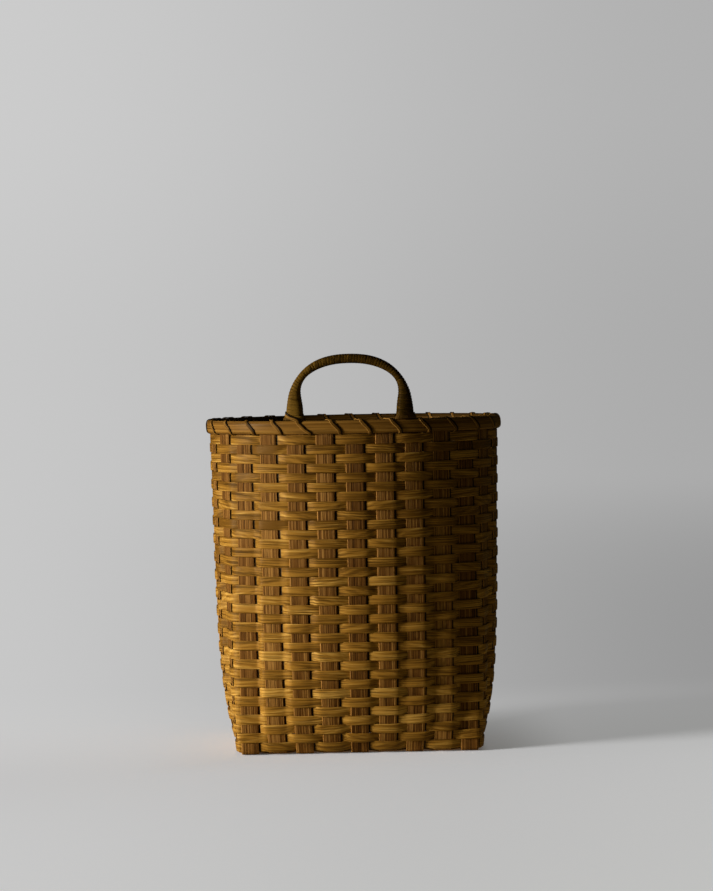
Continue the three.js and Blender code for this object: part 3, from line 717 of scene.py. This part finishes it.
# The tail's sections: height, where its outer and inner faces lie from the stake's middle, and width
TAIL_SECTIONS = (
    (BOW_BOTTOM_Z + 0.003, -STAKE_CLEAR, -STAKE_CLEAR - TAIL_THICKNESS, TAIL_WIDTH),
    (RIM_BOTTOM_Z - FIT, -STAKE_CLEAR, -STAKE_CLEAR - TAIL_THICKNESS, TAIL_WIDTH),
    (WALL_TOP_Z + 0.0002, -0.0020, -0.0050, 0.0088),
    (WALL_TOP_Z - 0.003, -0.0031, -0.0050, 0.0085),
    (WALL_TOP_Z - 0.018, -0.0031, -0.0049, 0.0074),
    (WALL_TOP_Z - 0.034, -0.0031, -0.0045, 0.0060),
)
TAIL_EDGE = 0.86

bow_wood = splint_wood(
    "dark bow wood", (0.035, 0.016, 0.003, 1), (0.085, 0.041, 0.007, 1), (0.15, 0.078, 0.016, 1),
    fibre=900.0, roughness=0.5, relief=0.0002, lengthwise=12.0, shine=0.04,
)


def soft_step(value):
    value = min(max(value, 0), 1)
    return value * value * (3 - 2 * value)


def bow_line(t):
    """Half the bow's middle line: how far from the centre it is and how far above its foot."""
    if t < LEG_SHARE:
        risen = t / LEG_SHARE
        return HANDLE_HALF_WIDTH + (FOOT_SPREAD - HANDLE_HALF_WIDTH) * (1 - risen) ** 2, LEG_RISE * risen
    turn = (t - LEG_SHARE) / (1 - LEG_SHARE) * math.pi / 2
    power = 2 / HANDLE_SQUARENESS
    return (
        HANDLE_HALF_WIDTH * max(math.cos(turn), 0) ** power,
        LEG_RISE + (HANDLE_RISE - LEG_RISE) * math.sin(turn) ** power,
    )


def bow_frame(share):
    """The bow at a share of its whole length, from the foot at -X (0) to the foot at +X (1): its middle,
    the ways across it and out of its face, and half its width and depth there."""
    side = 1 if share > 0.5 else -1
    t = min(2 * share, 2 - 2 * share)
    aside, rise = bow_line(t)
    before, after = bow_line(max(t - 0.01, 0)), bow_line(min(t + 0.01, 1))
    tangent = unit(np.array([before[0] - after[0], 0, side * (before[1] - after[1])]))
    # The foot looks out of the rim, and the grip straight to the front
    turn = soft_step(rise / SHOULDER_RISE)
    facing = unit(np.array([*feet[side]["out"], 0]) * (1 - turn) + np.array([0, -1.0, 0]) * turn)
    across = unit(np.cross(tangent, facing))
    spread = 1 - soft_step((rise - FOOT_RISE) / (SHOULDER_RISE - FOOT_RISE))
    crowning = soft_step((rise - SHOULDER_RISE) / (HANDLE_RISE - SHOULDER_RISE))
    thick = SHOULDER_THICKNESS + (GRIP_THICKNESS - SHOULDER_THICKNESS) * crowning
    thick += (FOOT_WIDTH - SHOULDER_THICKNESS) * spread
    thick += TOE_WIDTH * (1 - soft_step(rise / TOE_RISE))
    deep = GRIP_DEPTH + (FOOT_DEPTH - GRIP_DEPTH) * spread
    x = HANDLE_SHIFT + side * aside
    (left_x, left_y), (right_x, right_y) = [feet[end]["middle"] for end in (-1, 1)]
    way_over = (x - left_x) / (right_x - left_x)
    y = left_y * (1 - way_over) + right_y * way_over
    return np.array([x, y, BOW_BOTTOM_Z + rise]), across, facing, thick / 2, deep / 2


# Even steps along the bow's real length
shares = np.linspace(0, 1, LINE_STEPS + 1)
share_reach = reach_along(np.array([bow_frame(share)[0] for share in shares]))
BOW_LENGTH = share_reach[-1]


def bow_at(reach):
    return bow_frame(float(np.interp(reach, share_reach, shares)))


def bow_edge(place, turn, grow):
    """A point on the bow's rounded-square section, or grow outside it, and the way out of it there."""
    middle, across, facing, wide, deep = place
    c, s = math.cos(turn), math.sin(turn)
    a = (wide + grow) * math.copysign(abs(c) ** BOW_CORNER, c)
    d = (deep + grow) * math.copysign(abs(s) ** BOW_CORNER, s)
    fall = 2 - BOW_CORNER
    out = across * math.copysign(abs(c) ** fall, c) / wide + facing * math.copysign(abs(s) ** fall, s) / deep
    return middle + across * a + facing * d, unit(out)


bow_sections = []
for reach in np.linspace(0, BOW_LENGTH, BOW_SECTIONS):
    place = bow_at(reach)
    turns = np.linspace(0, 2 * math.pi, BOW_SIDES, endpoint=False)
    bow_sections.append([bow_edge(place, turn, 0)[0] for turn in turns])
bow = loft("bow_body", np.array(bow_sections), False, bow_wood)

tails = []
for foot in feet.values():
    sections = []
    for z, outer, inner, width in TAIL_SECTIONS:
        middles, ways, outs = wall(z)
        way, out = ways[foot["stake"]], outs[foot["stake"]]
        spot = middles[foot["stake"]] + way * foot["tail"]
        core = (outer + inner) / 2
        sections.append([
            (*(spot + way * share * width / 2 + out * offset), z) for share, offset in (
                (-1, core), (-TAIL_EDGE, outer), (TAIL_EDGE, outer),
                (1, core), (TAIL_EDGE, inner), (-TAIL_EDGE, inner),
            )
        ])
    tails.append(loft("tail", np.array(sections), False, bow_wood))
with bpy.context.temp_override(active_object=bow, selected_editable_objects=[bow, *tails]):
    bpy.ops.object.join()
bow.name = "handle_bow_wood"
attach(bow, "root")
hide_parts("handle_bow")


# Handle winding
# A long strand of split cane wound tightly round the bow from one foot to the other, turn against turn,
# so that the hand has a soft grip. It is older and darker than the weave.
CANE_WIDTH = 0.0031
CANE_THICKNESS = 0.0006
CANE_CLEAR = 0.0002
CANE_STEPS = 18
TURN_PITCH = CANE_WIDTH * 0.97
WINDING_START = 0.0032
WINDING_LENGTH = BOW_LENGTH - 2 * WINDING_START
# Painted light and shade: the cane is palest at the left foot, toward the lamp, darker over the crown and
# darkest toward the right, which faces away from the lamp. The cane's tone at shares of its way over the bow
TONE_PLACES = (0, 0.22, 0.40, 0.60, 0.75, 1)
CANE_SHADE_TONES = (1.00, 0.92, 0.50, 0.34, 0.36, 0.20)

cane = splint_wood(
    "dark olive-brown cane", (0.032, 0.016, 0.0015, 1), (0.068, 0.034, 0.0035, 1), (0.170, 0.090, 0.012, 1),
    fibre=1300.0, roughness=0.5, relief=0.0002, lengthwise=30.0, shine=0.04,
)
turn_count = round(WINDING_LENGTH / TURN_PITCH)
points, looks = [], []
for i in range(turn_count * CANE_STEPS + 1):
    reach = WINDING_START + WINDING_LENGTH * i / (turn_count * CANE_STEPS)
    point, out = bow_edge(bow_at(reach), 2 * math.pi * i / CANE_STEPS, CANE_THICKNESS / 2 + CANE_CLEAR)
    points.append(point)
    looks.append(out)
tones = np.random.default_rng(3)
turn_tones = np.interp(np.linspace(0, 1, turn_count + 1), TONE_PLACES, CANE_SHADE_TONES)
turn_tones += tones.uniform(-0.18, 0.18, turn_count + 1)
cane_tones = np.interp(np.arange(len(points)) / CANE_STEPS, np.arange(turn_count + 1), turn_tones)
winding = lay_splint("handle_winding", np.array(points), np.array(looks), False, cane, tone=cane_tones, **{
    "Width": CANE_WIDTH, "Thickness": CANE_THICKNESS, "Crown": 0.5, "Width wander": 0.35,
    "Path wander": 0.0009, "Seed": 5.0, "Section points": 10,
})
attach(winding, "root")
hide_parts("handle_binding")


# Rim lashing
# One narrow splint wound round both hoops all the way along, once in each space between two stakes. It
# draws the hoops together and leans on the outside. One turn of it goes over the handle's left foot.
LASH_WIDTH = 0.0044
LASH_THICKNESS = 0.0009
LASH_LIFT = LASH_THICKNESS / 2 + 0.0001
# How far along the rim from the middle of its space the lash stands at the top and the bottom outside
LASH_TOP = -0.0078
LASH_BOTTOM = 0.0014
LASH_STEPS = 3
RIM_STEPS = 24
LEFT_FOOT_SPACE = STAKE_COUNT - HANDLE_STAKE
# A change of tone comes about once a turn
TONE_STEPS = 42
TONE_COUNT = 30

# The lash's pale edges are wear and a painted highlight, and a painted shadow runs along one edge
lash_wood = splint_wood(
    "red-brown lashing splint", (0.08, 0.034, 0.004, 1), (0.175, 0.078, 0.010, 1), (0.34, 0.175, 0.038, 1),
    fibre=1300.0, roughness=0.48, relief=0.0003, shine=0.08, edge=(0.0016, 0.0020), shadow_edge=(0.0003, 0.0007),
)
rim_line, rim_out = [np.concatenate([values, values[:1]]) for values in smooth_rim(RIM_STEPS)]
rim_reach = reach_along(rim_line)
space_reach = rim_reach[RIM_STEPS // 2::RIM_STEPS]


def rim_spot(reach, offset, z):
    """A point at a distance round the rim from the handle side's middle stake, and the way out there."""
    reach = reach % rim_reach[-1]
    spot = np.array([np.interp(reach, rim_reach, rim_line[:, i]) for i in (0, 1)])
    out = unit(np.array([np.interp(reach, rim_reach, rim_out[:, i]) for i in (0, 1)]))
    return np.array((*(spot + out * offset), z)), np.array((*out, 0))


def hoop_face(z, flat, proud, drop):
    """How far out a hoop's rounded side stands at a height."""
    bottom, half = RIM_BOTTOM_Z - drop, (HOOP_HEIGHT + drop) / 2
    height = min(abs(z - bottom - half) / half, 1) ** (1 / HOOP_SHOULDER)
    return flat + (proud - flat) * (1 - height**2) ** (HOOP_BULGE / 2)


def outside(rise):
    """A height at a share of the outer hoop's, and how far out the middle of a lash on it lies there."""
    z = RIM_BOTTOM_Z + HOOP_HEIGHT * rise
    return z, hoop_face(z, **OUTER_HOOP) + LASH_LIFT


def wound_turn(k):
    """One turn of the lash, from under the rim, up outside, over the top and down inside. Each spot on it
    is a distance round the rim, a distance out, a height, and which way its face looks there (out, up)."""
    here = space_reach[k]
    before = here - rim_reach[-1] / STAKE_COUNT
    out_at, in_at = OUTER_FACE + LASH_LIFT, INNER_FACE - LASH_LIFT
    top, bottom = RIM_TOP_Z + LASH_LIFT, RIM_BOTTOM_Z - INNER_HOOP["drop"] - LASH_LIFT
    spots = [(here + LASH_BOTTOM + 0.0002, in_at * 0.3 + out_at * 0.7, bottom + 0.0009, (0, -1))]
    for rise, lean in ((0.08, 1.0), (0.26, 0.9), (0.50, 0.6), (0.74, 0.22), (0.92, 0.0)):
        z, offset = outside(rise)
        tilt = (0.5 - rise) * 2
        look = (1, -tilt * abs(tilt) * 0.7)
        spots.append((here + LASH_TOP + (LASH_BOTTOM - LASH_TOP) * lean, offset, z, look))
    over_edge, under_edge = RIM_TOP_Z - 0.0016, RIM_BOTTOM_Z + 0.001
    over_at, under_at = [hoop_face(z, **INNER_HOOP) - LASH_LIFT for z in (over_edge, under_edge)]
    spots += [
        (here + LASH_TOP - 0.0010, STAKE_CLEAR + 0.0012, top, (0.3, 1)),
        (here + LASH_TOP - 0.0036, (out_at + in_at) / 2, top, (0, 1)),
        (here + LASH_TOP - 0.0056, in_at + 0.0022, top, (-0.3, 1)),
        (here + LASH_TOP - 0.0064, over_at, over_edge, (-1, 0.5)),
        ((here + LASH_TOP) * 0.55 + before * 0.45, in_at, (RIM_TOP_Z + RIM_BOTTOM_Z) / 2, (-1, 0)),
        (before + LASH_BOTTOM + 0.0006, under_at, under_edge, (-1, -0.5)),
        (before + LASH_BOTTOM + 0.0003, in_at + 0.0024, bottom, (-0.3, -1)),
    ]
    made = []
    for reach, offset, z, (look_out, look_up) in spots:
        spot, out = rim_spot(reach, offset, z)
        made.append((spot, unit(out * look_out + np.array((0, 0, look_up)))))
    return made


def left_foot_turn(k):
    """The turn that ties the left foot: from under the rim across the outside, up over the foot's front to
    its left edge, and round that edge down to the inside."""
    plain = wound_turn(k)
    spots = plain[:2]
    for rise, aside in ((0.30, -0.0035), (0.55, -0.0070), (0.80, -0.0108)):
        z, offset = outside(rise)
        spots.append(rim_spot(space_reach[k] + aside, offset, z))
    # Heights on the foot, and how many quarter turns round it each spot is from the middle of its front
    for rise, quarters in ((0.0010, -0.12), (0.0034, 0.1), (0.0056, 0.4), (0.0070, 0.72), (0.0074, 1.0),
                           (0.0064, 1.4), (0.0040, 1.75)):
        place = bow_frame(rise / LEG_RISE * LEG_SHARE / 2)
        spots.append(bow_edge(place, (1 + quarters) * math.pi / 2, CANE_THICKNESS + LASH_LIFT + CANE_CLEAR))
    return spots + plain[-3:]


def through(points, steps):
    """A smooth closed line through points, in even steps between each two."""
    made = []
    for i in range(len(points)):
        before, start, end, after = (points[(i + j) % len(points)] for j in (-1, 0, 1, 2))
        for t in np.arange(steps) / steps:
            made.append(flowing(start, (end - before) / 2, end, (after - start) / 2, t))
    return np.array(made)


spots = []
for k in reversed(range(STAKE_COUNT)):
    spots += left_foot_turn(k) if k == LEFT_FOOT_SPACE else wound_turn(k)
points, looks = [through(np.array(values), LASH_STEPS) for values in zip(*spots)]
tones = np.random.default_rng(11)
lash_tones = np.interp(np.arange(len(points)) / TONE_STEPS, np.arange(TONE_COUNT),
                       tones.uniform(0.35, 0.65, TONE_COUNT))
lash_tones[-1] = lash_tones[0]
lash = lay_splint("rim_lash", points, looks, True, lash_wood, tone=lash_tones, **{
    "Width": LASH_WIDTH, "Thickness": LASH_THICKNESS, "Crown": 0.4, "Width wander": 0.12,
    "Path wander": 0.0004, "Seed": 9.0,
})
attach(lash, "root")
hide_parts("rim_lashing")


# Floor, background and lamp
# A plain pale floor that runs into a plain pale background, and one big soft lamp at the left with a
# little light from all round, so that the weave is lit across and the right side falls into shade.
FLOOR_REACH = 30.0
FLOOR_DROP = 0.0001
FLOOR_GLOW = 0.35
LEFT_GREY = 0.578
RIGHT_GREY = 0.405
KEY_PLACE = (-2.42, -0.90, 0.62)
KEY_AIM = (0.0, -0.05, 0.0)
KEY_SIZE = 0.75
KEY_SPREAD = math.radians(44)
KEY_ENERGY = 6.3
KEY_ON_FLOOR = 7.43
key_way = unit(np.array(KEY_AIM) - np.array(KEY_PLACE))

floor_mesh = bpy.data.meshes.new("floor")
corners = [(x * FLOOR_REACH, y * FLOOR_REACH, 0) for x, y in ((-1, -1), (1, -1), (1, 1), (-1, 1))]
floor_mesh.from_pydata(corners, [], [(0, 1, 2, 3)])
floor = bpy.data.objects.new("floor", floor_mesh)
floor.location.z = -FLOOR_DROP
bpy.context.scene.collection.objects.link(floor)

floor_paint = bpy.data.materials.new("pale floor")
floor_paint.use_nodes = True
tree = floor_paint.node_tree
tree.nodes.clear()
paint = Socket(tree)
spot = paint.node("ShaderNodeTexCoord", out="Object")
seen = paint.node("ShaderNodeLightPath", out="Is Camera Ray")
x, y = spot.part("X"), spot.part("Y")
distance = spot.vector("LENGTH", out="Value")
# Painted light and shade: the paint is pale at the left, toward the lamp, and a little darker at the right,
# and fades into the background far off
fan = x / (y.math("MAXIMUM", 0.0) + 2.4)
near_grey = 0.592 - fan.between(-0.18, 0.06) * 0.092
side_share = fan.between(-0.20, 0.20)
# Painted shadow: near the basket the right grey is darker still, as the basket's long soft shadow reaching
# back
right_grey = RIGHT_GREY - (1 - distance.between(0.8, 5.5)) * 0.093
far_grey = LEFT_GREY * (1 - side_share) + right_grey * side_share
# A part of what is seen is a glow of its own, least close to the basket, whose shadow is deepest there. The
# paint takes the lamp's light for the rest, and makes up for the lamp's fading toward the right.
beside_x = x.math("ABSOLUTE") - BASE_HALF_WIDTH
beside_y = y.math("ABSOLUTE") - BASE_HALF_DEPTH
beside = beside_x.math("MAXIMUM", beside_y)
contact = beside.between(-0.012, 0.010)
glow_share = 0.04 + 0.26 * contact + 0.28 * beside.between(0.0, 0.12) + 0.08 * distance.between(0.3, 1.0)
ray = spot.vector("SUBTRACT", KEY_PLACE)
reach = ray.vector("LENGTH", out="Value")
straight = ray.vector("DOT_PRODUCT", tuple(key_way), out="Value")
astray = (reach * reach - straight * straight).math("SQRT")
dimmed = 1 - astray / straight / math.tan(KEY_SPREAD / 2)
lamp_on_floor = KEY_ON_FLOOR * dimmed.math("MAXIMUM", 0.2) / reach.math("POWER", 3.0)
taken = (1 - glow_share) * near_grey / (lamp_on_floor * (1 - FLOOR_GLOW))
fade = y.between(-0.15, 0.45).math("MAXIMUM", distance.between(0.8, 1.6)) * contact
share = FLOOR_GLOW + (1 - FLOOR_GLOW) * fade
glow = (glow_share * near_grey * (1 - fade) + far_grey * fade) / share
# A little cool, to look neutral in the lamp's warm light
cool = paint.node("ShaderNodeCombineXYZ", {}, {"X": taken * 0.96, "Y": taken, "Z": taken * 1.09})
lit = paint.node("ShaderNodeBsdfDiffuse", {}, {"Color": seen.mix((0.75, 0.70, 0.44, 1), cool)})
# Just before the basket it lights the lowest rows from below
bounce = 1 - spot.vector("DISTANCE", (0.10, -0.28, 0.0), out="Value").between(0.12, 0.50)
glowing = paint.node("ShaderNodeEmission", {}, {"Color": seen.mix((0.20, 0.172, 0.098, 1), glow)})
blend = paint.node("ShaderNodeMixShader", {}, {0: share * seen + bounce * (1 - seen), 1: lit, 2: glowing})
blend.feed(tree.nodes.new("ShaderNodeOutputMaterial"), "Surface")
floor_mesh.materials.append(floor_paint)

world = bpy.data.worlds.new("world")
bpy.context.scene.world = world
world.use_nodes = True
tree = world.node_tree
tree.nodes.clear()
paint = Socket(tree)
way = paint.node("ShaderNodeTexCoord", out="Generated")
# Painted light and shade: the background is paler at the left, toward the lamp, darker at the right, and a
# little paler higher up
rise = way.part("Z").between(0.0, 0.12) * 0.03
side_share = way.part("X").between(-0.20, 0.20)
grey = (LEFT_GREY + rise) * (1 - side_share) + (RIGHT_GREY + rise) * side_share
seen = paint.node("ShaderNodeLightPath", out="Is Camera Ray")
fill = paint.node("ShaderNodeBackground", {}, {"Color": (0.96, 1.0, 0.62, 1), "Strength": 0.026})
backdrop = paint.node("ShaderNodeBackground", {}, {"Color": grey, "Strength": 1.0})
blend = paint.node("ShaderNodeMixShader", {}, {0: seen, 1: fill, 2: backdrop})
blend.feed(tree.nodes.new("ShaderNodeOutputWorld"), "Surface")

key = bpy.data.lights.new("key", "AREA")
key.shape = "DISK"
key.size = KEY_SIZE
key.energy = KEY_ENERGY
key.spread = KEY_SPREAD
key.color = (1.0, 0.955, 0.89)
key_lamp = bpy.data.objects.new("key", key)
key_lamp.location = KEY_PLACE
key_lamp.rotation_euler = (math.acos(-key_way[2]), 0, math.atan2(key_way[1], key_way[0]) - math.pi / 2)
key_lamp.visible_camera = False
bpy.context.scene.collection.objects.link(key_lamp)

bpy.context.scene.view_settings.view_transform = "Standard"
